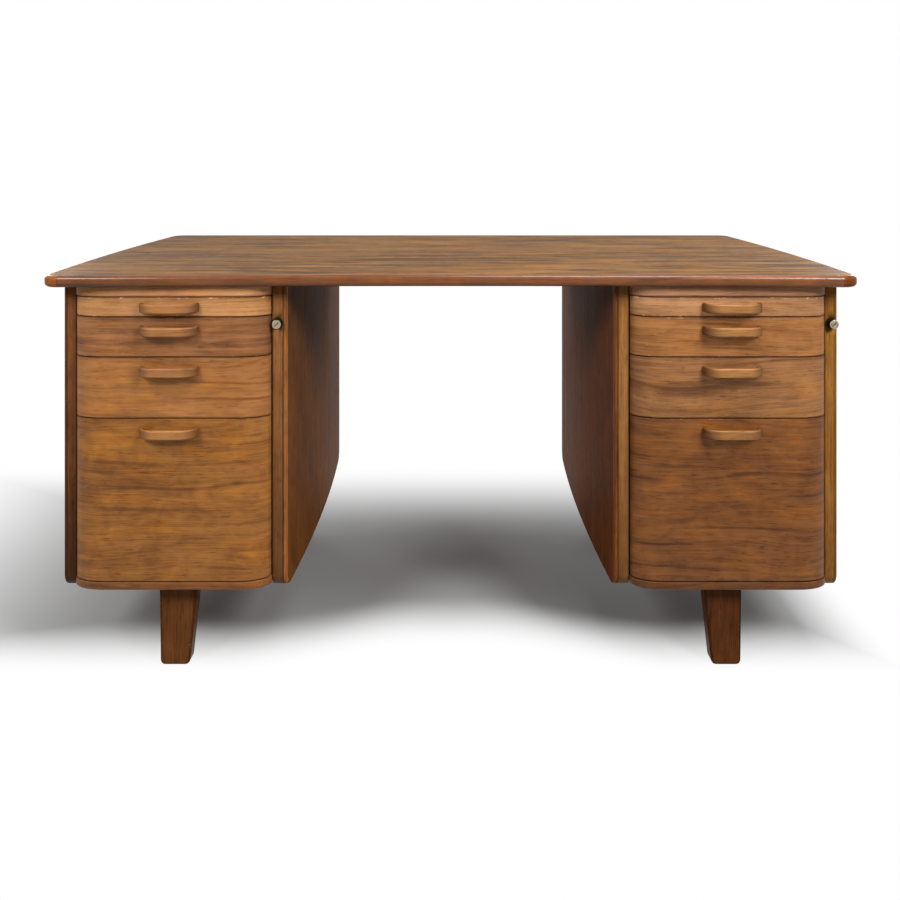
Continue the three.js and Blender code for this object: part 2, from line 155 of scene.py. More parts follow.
def set_stops(ramp, stops):
    """Gives a colour ramp its stops, each a position and a colour, and holds each colour."""
    ramp.interpolation = "CONSTANT"
    while len(ramp.elements) < len(stops):
        ramp.elements.new(1)
    for element, (position, colour) in zip(ramp.elements, stops):
        element.position = position
        element.color = colour


def in_scene(name, data):
    """A new object of the scene with that data."""
    made = bpy.data.objects.new(name, data)
    bpy.context.scene.collection.objects.link(made)
    return made


def add_camera():
    data = bpy.data.cameras.new("view")
    data.lens = lens_length
    data.sensor_width = sensor_width
    data.shift_x = across_shift_share
    data.shift_y = down_shift_share
    camera = in_scene("view", data)
    camera.location = camera_place
    camera.rotation_euler = (np.pi / 2, 0, 0)
    bpy.context.scene.camera = camera


def add_lamp(name, place, aim, size, power):
    data = bpy.data.lights.new(name, "AREA")
    data.shape = "DISK"
    data.size = size
    data.energy = power
    lamp = in_scene(name, data)
    lamp.location = place
    direction = Vector(aim) - Vector(place)
    lamp.rotation_euler = direction.to_track_quat("-Z", "Y").to_euler()


def white_rays(finish):
    """1 for rays from the camera and for those mirrored or passed on towards it."""
    kinds = ["Is Camera Ray", "Is Glossy Ray", "Is Transmission Ray"]
    camera, glossy, transmission = [finish.node("ShaderNodeLightPath", {}, {}, kind) for kind in kinds]
    return camera.maximum(glossy.maximum(transmission))


def floor_finish():
    """Pale and matt near the desk, where its shadow falls, and turning to white on each side. In
    front, it does so further back between the pedestals than below them, which paints light
    over part of the desk's shadow there. It throws less light back on the desk than its
    paleness would."""
    finish = Finish(bpy.data.materials.new("studio_floor"))
    place = finish.node("ShaderNodeTexCoord", {}, {}, "Object")
    along = finish.node("ShaderNodeSeparateXYZ", {}, {0: place}, "X")
    # painted light: between the pedestals the white begins nearer the desk, over its shadow
    between = 1 - along.absolute().rising(full_painted_light_half, no_painted_light_half)
    fade = 0
    for side in fade_sides.values():
        distance = finish.node("ShaderNodeSeparateXYZ", {}, {0: place}, side["axis"]) * side["turn"]
        distance = between * side["painted_light_advance"] + distance
        fade = distance.rising(side["start"], side["end"]).maximum(fade)
    seen = finish.node("ShaderNodeLightPath", {}, {}, "Is Camera Ray")
    grey = seen * (floor_grey - bounce_grey) + bounce_grey
    matt = finish.node("ShaderNodeBsdfDiffuse", {}, {"Color": grey})
    bright = finish.node("ShaderNodeEmission", {}, {"Color": white, "Strength": 1})
    white_share = fade * white_rays(finish)
    return finish.closed(finish.node("ShaderNodeMixShader", {}, {0: white_share, 1: matt, 2: bright}))


def add_floor():
    corners = [(-floor_half, -floor_half, 0), (floor_half, -floor_half, 0)]
    corners += [(floor_half, floor_half, 0), (-floor_half, floor_half, 0)]
    mesh = bpy.data.meshes.new("studio_floor")
    mesh.from_pydata(corners, [], [(0, 1, 2, 3)])
    mesh.materials.append(floor_finish())
    in_scene("studio_floor", mesh)


def light_backdrop():
    """White where it is seen, and a soft even light to everything else."""
    finish = Finish(bpy.data.worlds.new("studio"))
    seen = white_rays(finish)
    strength = seen * (1 - ambient_strength) + ambient_strength
    backdrop = finish.node("ShaderNodeBackground", {}, {"Color": white, "Strength": strength})
    bpy.context.scene.world = finish.closed(backdrop, "ShaderNodeOutputWorld")


add_camera()
add_floor()
light_backdrop()
for lamp_name, lamp in lamps.items():
    add_lamp(lamp_name, **lamp)
bpy.context.scene.view_settings.view_transform = "Standard"

# The top
# A board with solid lippings, of which the front one is hollow and butts between the bowed
# ends. Four leaves of veneer cover it up to where the lippings are rounded over.
hands = {"left": -1, "right": 1}
top_edge_radius = 0.008
seam_gap = 0.00002
top_corner_radius = 0.032
top_end_bow = 0.012
top_front_hollow = 0.0135
lipping_margin = 0.002
joint_dirt_and_shade_width = 0.002
lipping_steps = 48
corner_steps = 10
edge_steps = 7
smooth_angle = np.radians(32)
upright_share = 0.9999
leaf_width = 0.1768
leaf_shift = 3.7
grain_relief = 0.0004
shade_free_height = 0.74
dirt_and_shade_tint = (0.2, 0.16, 0.14, 1)
bare_gain = 1.5
amber_tint = (1.25, 1.15, 0.75, 1)
dirt_and_shade_unevenness = 0.6


def solid_piece(name, rings, material, grain=None, edge=None, ends="faces", veneer=None):
    """A closed solid from rings[level, point]. Four-sided faces join each ring to the next.
    The first and last ring are closed by one face each, or by "rungs" from the k-th point to
    the k-th from the end, or are "joined" to each other. Grain and edge stay with the points,
    and a veneer covers the faces that look straight up."""
    levels, count = rings.shape[:2]
    index = np.arange(levels * count).reshape(levels, count)
    here = index if ends == "joined" else index[:-1]
    above = np.roll(index, -1, 0) if ends == "joined" else index[1:]
    walls = np.stack([here, np.roll(here, -1, 1), np.roll(above, -1, 1), above], axis=-1)
    faces = walls.reshape(-1, 4).tolist()
    if ends == "rungs":
        near, far = index[-1, : count // 2], index[-1, : count // 2 - 1 : -1]
        rungs = np.stack([near[:-1], near[1:], far[1:], far[:-1]], axis=-1)
        faces += rungs.tolist() + (rungs - index[-1, 0])[:, ::-1].tolist()
    if ends == "faces":
        faces += [index[-1].tolist(), index[0, ::-1].tolist()]
    mesh = bpy.data.meshes.new(name)
    mesh.from_pydata(rings.reshape(-1, 3).tolist(), [], faces)
    if grain is not None:
        kept = mesh.attributes.new("grain", "FLOAT_VECTOR", "POINT")
        kept.data.foreach_set("vector", grain.ravel())
    if edge is not None:
        kept = mesh.attributes.new("edge", "FLOAT", "POINT")
        kept.data.foreach_set("value", np.broadcast_to(edge, (levels, count)).ravel())
    turn_outwards(mesh)
    mesh.shade_smooth()
    mesh.set_sharp_from_angle(angle=smooth_angle)
    mesh.materials.append(material)
    if veneer:
        second_material(mesh, veneer, "normal", 2, upright_share, np.inf)
    return in_scene(name, mesh)


def second_material(mesh, material, measure, axis, low, high):
    """Gives a second material to the faces of which the normal or the center, whichever the
    measure names, lies between low and high along an axis."""
    values = np.zeros(3 * len(mesh.polygons))
    mesh.polygons.foreach_get(measure, values)
    along = values.reshape(-1, 3)[:, axis]
    mesh.materials.append(material)
    mesh.polygons.foreach_set("material_index", np.where((along > low) & (along < high), 1, 0))


def turn_outwards(mesh):
    shape = bmesh.new()
    shape.from_mesh(mesh)
    bmesh.ops.recalc_face_normals(shape, faces=shape.faces)
    if shape.calc_volume(signed=True) < 0:
        bmesh.ops.reverse_faces(shape, faces=shape.faces)
    shape.to_mesh(mesh)
    shape.free()


def stacked(x, y, z):
    """Rings of points from the three coordinates, each spread over all levels and points."""
    return np.stack(np.broadcast_arrays(x, y, z), axis=-1)


def rounded_edges(low, high, low_radius, high_radius, margin):
    """Levels, insets and edge shares up a piece with rounded edges, each as a column. A rounding
    rises by radius * (1 - cos(angle)) while its inset is radius * (1 - sin(angle)). The edge
    share is 1 on the rounding and falls to 0 at a further ring a margin away on each side."""
    angle = np.linspace(0, np.pi / 2, edge_steps)
    rise, inset = 1 - np.cos(angle), 1 - np.sin(angle)
    first, last = low + low_radius * rise, (high - high_radius * rise)[::-1]
    between = [first[-1] + margin, last[0] - margin]
    levels = np.concatenate([[low], first, between, last, [high]])
    first, last = low_radius * inset, (high_radius * inset)[::-1]
    insets = np.concatenate([[low_radius + margin], first, [0, 0], last, [high_radius + margin]])
    full = np.ones(edge_steps)
    edge = np.concatenate([[0], full, [0, 0], full, [0]])
    return levels[:, None], insets[:, None], edge[:, None]


def place_piece(piece, body, slot, *replaced):
    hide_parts(*replaced)
    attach(piece, body)


def paint(colour):
    """A screen colour of 0 to 255 a channel made linear: ((c + 0.055) / 1.055) to the power 2.4."""
    linear = ((np.array(colour) / 255 + 0.055) / 1.055) ** 2.4
    return (*linear.tolist(), 1)


def mixed(finish, share, first, second, blend="MIX"):
    """A mix of two colours. Sockets 6 and 7 of a Mix node are its colours, and output 2 is theirs."""
    settings = {"data_type": "RGBA", "blend_type": blend}
    return finish.node("ShaderNodeMix", settings, {0: share, 6: first, 7: second}, 2)


def wood_place(finish, axes):
    """Where a point lies in its wood: along the grain, across it and through it. Axes names the
    three axes in that order, or is "bent" for a piece that keeps these values in its points."""
    if axes == "bent":
        place = finish.node("ShaderNodeAttribute", {"attribute_name": "grain"}, {}, "Vector")
        axes = "XYZ"
    else:
        place = finish.node("ShaderNodeTexCoord", {}, {}, "Object")
    return [finish.node("ShaderNodeSeparateXYZ", {}, {0: place}, "XYZ".index(axis)) for axis in axes]


def noise(finish, place, rates, detail=2, swirl=0):
    """Soft noise of 0 to 1 about 0.5. Each rate is how many times it changes in a metre."""
    scaled = [value * rate for value, rate in zip(place, rates)]
    vector = finish.node("ShaderNodeCombineXYZ", {}, dict(enumerate(scaled)))
    inputs = {"Vector": vector, "Scale": 1, "Detail": detail, "Distortion": swirl}
    return finish.node("ShaderNodeTexNoise", {}, inputs)


def leaf_parts(finish, across, leaves):
    """Which leaf of veneer a point lies in, and the tone of that leaf."""
    leaf = ((across - leaves["start"]) / leaf_width).floor()
    tones = leaves["tones"]
    stops = [(k / len(tones), (tone, tone, tone, 1)) for k, tone in enumerate(tones)]
    return leaf, finish.node("ShaderNodeValToRGB", {"stops": stops}, {0: (leaf + 0.5) / len(tones)})


# How many times each part of the figure changes in a metre along the grain, across it and
# through it, how fine its detail goes, how much it swirls, and the values between which its
# noise counts from 0 to 1. A part without such limits lies about 0.
figure_parts = {
    "sway": {"rates": [1.6, 5, 5]},
    "blotch": {"rates": [4.5, 9, 9], "detail": 4, "swirl": 1.2},
    "streak": {"rates": [3, 80, 80], "detail": 4, "swirl": 0.3},
    "mottle": {"rates": [22, 26, 26], "detail": 4, "swirl": 1},
    "fibre": {"rates": [12, 420, 420], "detail": 3},
    "line": {"rates": [4, 12, 12], "limits": (0.45, 0.65)},
    "pore": {"rates": [40, 520, 520], "limits": (0.6, 0.68)},
    "amber": {"rates": [12, 34, 34], "detail": 4, "swirl": 0.8, "limits": (0.45, 0.75)},
    "dirt": {"rates": [25, 60, 60], "detail": 3},
    "chip": {"rates": [140, 260, 260], "detail": 3, "limits": (0.63, 0.66)},
}
line_rate = 170
line_swirl_rates = [1.3, 6, 6]
line_swirl = 14
line_sharpness = 14


def figure_part(finish, place, name, **changes):
    settings = {**figure_parts[name], **changes}
    limits = settings.pop("limits", None)
    soft = noise(finish, place, **settings)
    return soft.rising(*limits) if limits else soft - 0.5


def wood_figure(finish, place, streak_rates):
    """The parts of the figure that set the tone, each about 0 but for the lines and pores, which
    are 0 to 1. Year lines are narrow peaks of a sine across the grain, swirled by noise and
    fading in and out."""
    parts = {name: figure_part(finish, place, name) for name in ("blotch", "mottle", "fibre", "pore")}
    parts["streak"] = figure_part(finish, place, "streak", rates=streak_rates)
    wave = (place[1] + place[2]) * line_rate + noise(finish, place, line_swirl_rates) * line_swirl
    parts["line"] = (wave.sine() / 2 + 0.5) ** line_sharpness * figure_part(finish, place, "line")
    return parts


def weighted(parts, weights):
    """The sum of some parts of the figure, each times its weight."""
    return sum(parts[name] * weight for name, weight in weights.items())


def dirtied_and_shaded(finish, place, colour, soil, low_painted_shade, chips, bare):
    """Darkens the edges, and with them the joints between parts, with old dirt and painted shade,
    darkens the lower parts too by their share as painted shade, and breaks small pale chips out
    of the edges."""
    edge = finish.node("ShaderNodeAttribute", {"attribute_name": "edge"}, {}, "Fac")
    dark = mixed(finish, 1, colour, dirt_and_shade_tint, "MULTIPLY")
    # painted shade and dirt: edges and the joints between parts are darkened by a tint, unevenly
    dirt = (figure_part(finish, place, "dirt") * dirt_and_shade_unevenness + 1) * soil
    colour = mixed(finish, edge * dirt, colour, dark)
    place_in_desk = finish.node("ShaderNodeTexCoord", {}, {}, "Object")
    height = finish.node("ShaderNodeSeparateXYZ", {}, {0: place_in_desk}, "Z")
    # painted shade: darker towards the floor, where the lamps' light falls off
    colour = mixed(finish, (1 - height.rising(0, shade_free_height)) * low_painted_shade, colour, dark)
    return mixed(finish, figure_part(finish, place, "chip") * edge * chips, colour, bare), edge


plain_tones = {"blotch": 0.6, "streak": 0.45, "mottle": 0.4, "fibre": 0.8, "line": -0.32, "pore": -0.3}
relief_weights = {"streak": 0.4, "fibre": 1, "line": -0.2, "pore": -0.8}
roughness_weights = {"blotch": 0.2, "pore": 0.12, "edge": 0.1}
relief_strength = 0.25
dark_tone = -0.15
pale_tone = 1.15


def varnished_wood(name, axes, pale, dark, shift=0, gloss=0.34, shine=0.18, soil=0.6, low_painted_shade=0,
                   chips=0, leaves=None, sway=0.05, amber=0.7,
                   streak_rates=figure_parts["streak"]["rates"], **tone_changes):
    """Wood under a thin satin varnish. Its colour lies between dark and pale by the figure, with
    amber clouds in it, and the figure sets its gloss and relief too. The tone changes say how
    much a part of the figure adds to the tone where that isn't the plain share."""
    finish = Finish(bpy.data.materials.new(name))
    pale, dark = paint(pale), paint(dark)
    along, across, through = wood_place(finish, axes)
    along = along + shift
    tone = 0.5
    if leaves:
        leaf, tone = leaf_parts(finish, across, leaves)
        along = along + leaf * leaf_shift
    swayed = figure_part(finish, [along, across, through], "sway") * sway
    place = [along, across + swayed, through + swayed / 2]
    parts = wood_figure(finish, place, streak_rates)
    tone = weighted(parts, {**plain_tones, **tone_changes}) + tone
    colour = mixed(finish, tone.rising(dark_tone, pale_tone), dark, pale)
    colour = mixed(finish, figure_part(finish, place, "amber") * amber, colour, amber_tint, "MULTIPLY")
    bare = (*np.multiply(pale[:3], bare_gain).tolist(), 1)
    colour, parts["edge"] = dirtied_and_shaded(finish, place, colour, soil, low_painted_shade, chips, bare)
    height = weighted(parts, relief_weights)
    relief = {"Strength": relief_strength, "Distance": grain_relief, "Height": height}
    inputs = {
        "Base Color": colour,
        "Roughness": weighted(parts, roughness_weights) + gloss,
        "Normal": finish.node("ShaderNodeBump", {}, relief),
        "Specular IOR Level": shine,
    }
    return finish.closed(finish.node("ShaderNodeBsdfPrincipled", {}, inputs))


def build_top_board(veneer):
    low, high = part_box("top_panel")
    z, inset = rounded_edges(low.z, high.z, seam_gap, seam_gap, lipping_margin)[:2]
    x = np.array([low.x, high.x, high.x, low.x]) + inset * np.array([1, -1, -1, 1])
    y = np.array([low.y, low.y, high.y, high.y]) + inset * np.array([1, 1, -1, -1])
    place_piece(solid_piece("top_board", stacked(x, y, z), veneer), "root", "top_veneer", "top_panel")


def build_long_lipping(name, turn, hollow, material, veneer, replaced):
    """A lipping along the front or rear. In plan its free edge stands back from the ends by
    hollow * (1 - (x / half)²), and its other edge lies straight along the board. The edge share
    is 1 at the two ends only, so that dirt and painted shade show in their joints."""
    low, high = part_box(replaced)
    board_low, board_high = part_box("top_panel")
    z, inset = rounded_edges(low.z, high.z, top_edge_radius, top_edge_radius, lipping_margin)[:2]
    inner_x = np.linspace(low.x + joint_dirt_and_shade_width, high.x - joint_dirt_and_shade_width, lipping_steps)
    x = np.concatenate([[low.x], inner_x, [high.x]])
    free = (low.y if turn > 0 else high.y) + turn * (hollow * (1 - (x / high.x) ** 2) + inset)
    seam = np.full_like(free, (board_low.y if turn > 0 else board_high.y) - turn * seam_gap)
    y = np.concatenate([free, seam], axis=1)
    x = np.concatenate([x, x[::-1]])
    edge = np.where(np.abs(x) < high.x, 0, 1)
    piece = solid_piece(name, stacked(x, y, z), material, edge=edge, ends="rungs", veneer=veneer)
    place_piece(piece, "root", "lipping_wood", replaced)


def bowed_end(y, tip_x, half):
    """How far out an end of the top stands at the depth y: tip - bow * (y / half)²."""
    return tip_x - top_end_bow * (y / half) ** 2


def curved_corner(start, corner, end):
    """A quadratic curve from start to end about a corner: at each share s of the way, (1 - s)² of
    the start, 2 s (1 - s) of the corner and s² of the end."""
    share = np.linspace(0, 1, corner_steps)
    return (1 - share) ** 2 * start + 2 * share * (1 - share) * corner + share**2 * end


def build_end_lipping(name, side, material, veneer, replaced):
    """A lipping across one end. Its free edge is bowed, and turns into the front and rear edges
    by a quadratic curve about the corner that they would make."""
    low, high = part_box(replaced)
    z, inset = rounded_edges(low.z, high.z, top_edge_radius, top_edge_radius, lipping_margin)[:2]
    seam_x, tip_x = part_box("top_panel")[1].x + seam_gap, max(abs(low.x), abs(high.x))
    bend_y = low.y + top_corner_radius
    bend_x = bowed_end(bend_y, tip_x, high.y) - inset
    corner_x = curved_corner(seam_x, bowed_end(low.y, tip_x, high.y) - inset, bend_x)
    corner_y = curved_corner(low.y + inset, low.y + inset, bend_y)
    y = np.linspace(bend_y, -bend_y, lipping_steps)[None, 1:-1]
    x = np.concatenate([corner_x, bowed_end(y, tip_x, high.y) - inset, corner_x[:, ::-1]], axis=1)
    y = np.concatenate([corner_y, y + 0 * inset, -corner_y[:, ::-1]], axis=1)
    piece = solid_piece(name, stacked(side * x, y, z), material, veneer=veneer)
    place_piece(piece, "root", "lipping_wood", replaced)


top_figure = {
    "gloss": 0.5, "shine": 0.045, "soil": 0, "blotch": 0.6, "streak": 2.8, "streak_rates": [4, 44, 44],
    "mottle": 0.7, "fibre": 2.4, "amber": 0.3,
}
leaf_tones = [0.52, 0.4, 0.56, 0.5]
top_tones = {
    "veneer": ((128, 87, 38), (58, 35, 13)),
    "long": ((128, 75, 38), (71, 38, 17)),
    "left_end": ((160, 95, 47), (99, 57, 25)),
    "right_end": ((126, 69, 28), (77, 40, 15)),
}


def build_top():
    leaves = {"start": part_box("top_panel")[0].y, "tones": leaf_tones}
    veneer = varnished_wood("top_veneer", "XYZ", *top_tones["veneer"], leaves=leaves, **top_figure)
    long_wood = varnished_wood("long_lipping_wood", "XYZ", *top_tones["long"], gloss=0.2, shine=0.28,
                               soil=1)
    build_top_board(veneer)
    build_long_lipping("front_lipping", 1, top_front_hollow, long_wood, veneer, "top_lipping_front")
    build_long_lipping("rear_lipping", -1, 0, long_wood, veneer, "top_lipping_rear")
    for hand, side in hands.items():
        end_wood = varnished_wood(f"{hand}_end_lipping_wood", "YXZ", *top_tones[f"{hand}_end"],
                                  shine=0.06)
        build_end_lipping(f"{hand}_end_lipping", side, end_wood, veneer, f"top_lipping_{hand}")


build_top()

# The sides of the pedestals
# Thin veneered panels with upright grain, bowed in plan, each glued to a solid stile at the
# front. Their lower corners are rounded, and the panel's front edge shows beside the stile.
kneehole_front_half = 0.315
kneehole_narrowing = 0.0085
pedestal_outer = 0.7435
side_bow = 0.0125
panel_thickness = 0.006
panel_edge_radius = 0.004
panel_back_arris = 0.001
edging_depth = 0.012
joint_gap = 0.0003
side_log_shift = 1
lower_corner_radius = 0.026
panel_steps = 30
edging_crowding = 1.5
upright_steps = 12
strip_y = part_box("right_inner_side_panel")[0].y
carcase_rear_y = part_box("right_inner_side_panel")[1].y


def bow_at(y):
    """The bow of a pedestal's side: bow * (1 - ((y - middle) / half)²), none at its two ends."""
    middle, half = (strip_y + carcase_rear_y) / 2, (carcase_rear_y - strip_y) / 2
    return side_bow * (1 - ((y - middle) / half) ** 2)


def outer_x(y):
    return pedestal_outer + bow_at(y)


def kneehole_x(y):
    """The face towards the kneehole: it narrows evenly to the rear and bows inwards."""
    share = (y - strip_y) / (carcase_rear_y - strip_y)
    return kneehole_front_half - kneehole_narrowing * share - bow_at(y)


def corner_cut(height, radius):
    """How far a rounded lower corner stands back: radius - sqrt(radius² - (radius - height)²)."""
    left = np.clip(radius - height, 0, radius)
    return radius - np.sqrt(radius**2 - left**2)


def upright_levels(low, high):
    """Levels up a board with rounded lower corners, close together over the rounding."""
    angle = np.linspace(0, np.pi / 2, upright_steps)
    bend = low + lower_corner_radius * (1 - np.cos(angle))
    return np.concatenate([bend, np.linspace(bend[-1], high, upright_steps)[1:]])[:, None]


def quarter_turn(x, y, radius, quarter):
    """A quarter circle about a point, starting after that many quarters, anticlockwise."""
    angle = (quarter + np.linspace(0, 1, edge_steps)) * np.pi / 2
    return x + radius * np.cos(angle), y + radius * np.sin(angle)


def backwards(run):
    """The same run of points, from its end to its start."""
    return [part[:, ::-1] for part in run]


def joined(*runs):
    """One plan outline per level from runs of points, each a pair (x, y)."""
    height = max(np.shape(part)[0] for run in runs for part in run if np.ndim(part) == 2)
    outline = []
    for parts in zip(*runs):
        spread = [np.broadcast_to(part, (height, np.shape(part)[-1])) for part in parts]
        outline.append(np.concatenate(spread, axis=1))
    return outline


def build_inner_panel(hand, side, material, edging):
    """Its plan runs round the front arris, along the kneehole face, back along the hidden face
    and round the back arris. Its front is solid edging."""
    node = f"{hand}_inner_side_panel"
    low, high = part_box(node)
    z = upright_levels(low.z, high.z)
    cut = corner_cut(z - low.z, lower_corner_radius)
    front, rear = strip_y + cut, carcase_rear_y - cut
    share = np.linspace(0, 1, panel_steps)
    start = front + panel_edge_radius
    arris = quarter_turn(kneehole_x(start) + panel_edge_radius, start, panel_edge_radius, 2)
    y = start + (rear - start) * share**edging_crowding
    face = kneehole_x(y), y
    start = front + panel_back_arris
    y = start + (rear - start) * share
    back = kneehole_x(y) + panel_thickness, y
    back_arris_x = kneehole_x(start) + panel_thickness - panel_back_arris
    back_arris = quarter_turn(back_arris_x, start, panel_back_arris, 3)
    x, y = joined(backwards(arris), face, backwards(back), backwards(back_arris))
    panel = solid_piece(f"{hand}_kneehole_panel", stacked(side * x, y, z), material)
    second_material(panel.data, edging, "center", 1, -np.inf, strip_y + edging_depth)
    place_piece(panel, "root", "side_veneer", node)


def build_outer_panel(hand, side, material):
    node = f"{hand}_outer_side_panel"
    low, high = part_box(node)
    z = upright_levels(low.z, high.z)
    rear = carcase_rear_y - corner_cut(z - low.z, lower_corner_radius)
    share = np.linspace(0, 1, panel_steps)
    y = low.y + (rear - low.y) * share
    x, y = joined((outer_x(y), y), backwards((outer_x(y) - panel_thickness, y)))
    panel = solid_piece(f"{hand}_end_panel", stacked(side * x, y, z), material)
    place_piece(panel, "root", "side_veneer", node)


side_tones = {
    "left": ((131, 81, 39), (68, 37, 16)),
    "right": ((122, 70, 36), (64, 34, 15)),
}
edging_tones = {
    "left": ((186, 116, 59), (105, 61, 30)),
    "right": ((146, 84, 45), (77, 42, 20)),
}
for hand, side in hands.items():
    shift = side_log_shift * side
    side_veneer = varnished_wood(f"{hand}_side_veneer", "ZYX", *side_tones[hand], shift=shift,
                                 shine=0.0015, line=-0.2, amber=0.3)
    edging = varnished_wood(f"{hand}_edging_wood", "ZYX", *edging_tones[hand], shift=shift, shine=0.02)
    build_inner_panel(hand, side, side_veneer, edging)
    build_outer_panel(hand, side, side_veneer)

# The stiles
# Solid uprights that frame each stack of drawers. The outer ones are rounded over at the
# corner of the desk. One stile of each pedestal is bored through for a push lock.
stile_edge_radius = 0.008
stile_arris = 0.0012
stile_back_arris = 0.0004
stile_margin = 0.002
outer_stile_width = 0.0255
inner_stile_width = 0.0214
bore_radius = 0.0103
bore_margin = 0.02
bore_steps = 64
stile_log_shift = 3


def arris_run(x, y, radius, quarter, margin):
    """A quarter circle, and a further point a margin beyond each of its ends along the faces.
    The edge share is 1 on the circle and 0 at the two further points."""
    turns = quarter + np.concatenate([[0], np.linspace(0, 1, edge_steps), [1]])
    beyond = margin * np.concatenate([[-1], np.zeros(edge_steps), [1]])
    cosine, sine = np.cos(turns * np.pi / 2), np.sin(turns * np.pi / 2)
    run = x + radius * cosine - beyond * sine, y + radius * sine + beyond * cosine
    return run, np.where(beyond == 0, 1, 0)


def four_cornered(front, back, near, far_front, far_back, radii, margin):
    """A four-cornered plan, rounded by quarter circles of the four radii. It runs from the near
    front corner along the front to the far one, and round by the back."""
    corners = [
        (near, front, 1, 1, 2), (far_front, front, -1, 1, 3),
        (far_back, back, -1, -1, 0), (near, back, 1, -1, 1),
    ]
    runs, edges = [], []
    for (x, y, turn_x, turn_y, quarter), radius in zip(corners, radii):
        run, edge = arris_run(x + turn_x * radius, y + turn_y * radius, radius, quarter, margin)
        runs.append(run)
        edges.append(edge)
    return *joined(*runs), np.concatenate(edges, axis=-1)


def bore_through(piece, middle):
    """Cuts a round hole along Y through a piece."""
    angle = np.linspace(0, 2 * np.pi, bore_steps, endpoint=False)
    y = np.array([[middle.y - bore_margin], [middle.y + bore_margin]])
    rings = stacked(middle.x + bore_radius * np.cos(angle), y, middle.z + bore_radius * np.sin(angle))
    cut_away(piece, solid_piece("bore", rings, None))


def cut_away(piece, cutter):
    """Cuts one solid out of another and deletes the cutter."""
    cut = piece.modifiers.new("cut", "BOOLEAN")
    cut.operation = "DIFFERENCE"
    cut.solver = "EXACT"
    cut.object = cutter
    bpy.context.view_layer.update()
    shape = piece.evaluated_get(bpy.context.evaluated_depsgraph_get())
    mesh = bpy.data.meshes.new_from_object(shape)
    piece.modifiers.clear()
    piece.data = mesh
    bpy.data.objects.remove(cutter)


def build_stile(hand, side, is_outer, material):
    """Four-cornered rings up to the top. Where the rounded lower corner leaves too little depth
    for the roundings, they all shrink with it."""
    node = f"{hand}_outer_stile" if is_outer else f"{hand}_inner_stile"
    low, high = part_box(node)
    z = upright_levels(low.z, high.z)
    front = strip_y + corner_cut(z - low.z, lower_corner_radius)
    back = high.y + 0 * z
    room = stile_edge_radius + stile_back_arris + 2 * stile_margin
    kept_share = np.minimum((back - front) / room, 1)
    arris, back_arris = stile_arris * kept_share, stile_back_arris * kept_share
    if is_outer:
        near, far_radius = pedestal_outer - outer_stile_width, stile_edge_radius * kept_share
        far_front, far_back = outer_x(front + far_radius), outer_x(back)
    else:
        near, far_radius = kneehole_x(front) + panel_thickness + joint_gap, arris
        far_back = kneehole_front_half + panel_thickness + joint_gap + inner_stile_width + 0 * z
        far_front = far_back
    radii = arris, far_radius, back_arris, back_arris
    x, y, edge = four_cornered(front, back, near, far_front, far_back, radii, stile_margin * kept_share)
    name = f"{hand}_{'corner' if is_outer else 'kneehole'}_stile"
    stile = solid_piece(name, stacked(side * x, y, z), material, edge=edge)
    if is_outer == (side > 0):
        lock_low, lock_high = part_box(f"{hand}_lock_housing")
        bore_through(stile, (lock_low + lock_high) / 2)
    place_piece(stile, "root", "stile_wood", node)


# painted shade: how far each stile darkens towards the floor
stile_low_shade = {"left_outer": 0.85, "left_inner": 0.8, "right_inner": 0.65, "right_outer": 0.25}
stile_tones = {
    "left_outer": ((146, 91, 54), (71, 42, 22)),
    "left_inner": ((168, 116, 71), (97, 57, 31)),
    "right_inner": ((176, 123, 69), (106, 67, 35)),
    "right_outer": ((181, 128, 57), (100, 59, 28)),
}
for hand, side in hands.items():
    for is_outer in (False, True):
        name = f"{hand}_{'outer' if is_outer else 'inner'}"
        stile_wood = varnished_wood(f"{name}_stile_wood", "ZXY", *stile_tones[name],
                                    shift=stile_log_shift * side, low_painted_shade=stile_low_shade[name], shine=0.05,
                                    sway=0.01, line=-0.15)
        build_stile(hand, side, is_outer, stile_wood)

# The rails, boards and backs
# A bent apron rail closes each pedestal above the drawers, and a board with a rounded nose
# below. Behind are a plain rear rail and a thin back panel, let in between the sides, and two
# plain boards inside carry the runners of the drawers.
bend_width = 0.060
bend_depth = 0.028
front_thickness = 0.018
return_thickness = 0.014
rail_arris = 0.0008
end_dirt_and_shade_length = 0.022
nose_radius = 0.006
board_arris = 0.001
board_margin = 0.003
bend_steps = 20
flat_steps = 12
rail_log_shifts = {"left": 1, "right": 3}
board_log_shift = 5
back_log_shift = 7
flat_y = strip_y - bend_depth


def front_bend(half, end_x, end_y, inset):
    """A front's bend from its end: a quarter of an ellipse from a side to the straight run."""
    angle = np.linspace(0, np.pi / 2, bend_steps)
    x = half - bend_width + (bend_width - inset) * np.cos(angle)
    y = strip_y - (bend_depth - inset) * np.sin(angle)
    return np.concatenate([end_x, x], axis=1), np.concatenate([end_y, y], axis=1)


def mirrored_run(x, y, flat_half, flat_y):
    """A bend from its end, a straight run across the middle, and the same bend mirrored."""
    flat_x = np.linspace(-flat_half, flat_half, flat_steps)[None, 1:-1] + 0 * flat_y
    x = np.concatenate([-x, flat_x, x[:, ::-1]], axis=1)
    return x, np.concatenate([y, flat_y + 0 * flat_x, y[:, ::-1]], axis=1)


def run_length(x, y):
    """How far along its run each point lies: the sum of the steps up to it."""
    steps = np.hypot(np.diff(x, axis=1), np.diff(y, axis=1))
    return np.concatenate([0 * x[:, :1], np.cumsum(steps, axis=1)], axis=1)


def there_and_back(first, second):
    """The values of one run from its start, and then of the other from its end."""
    return np.concatenate([first, second[:, ::-1]], axis=1)


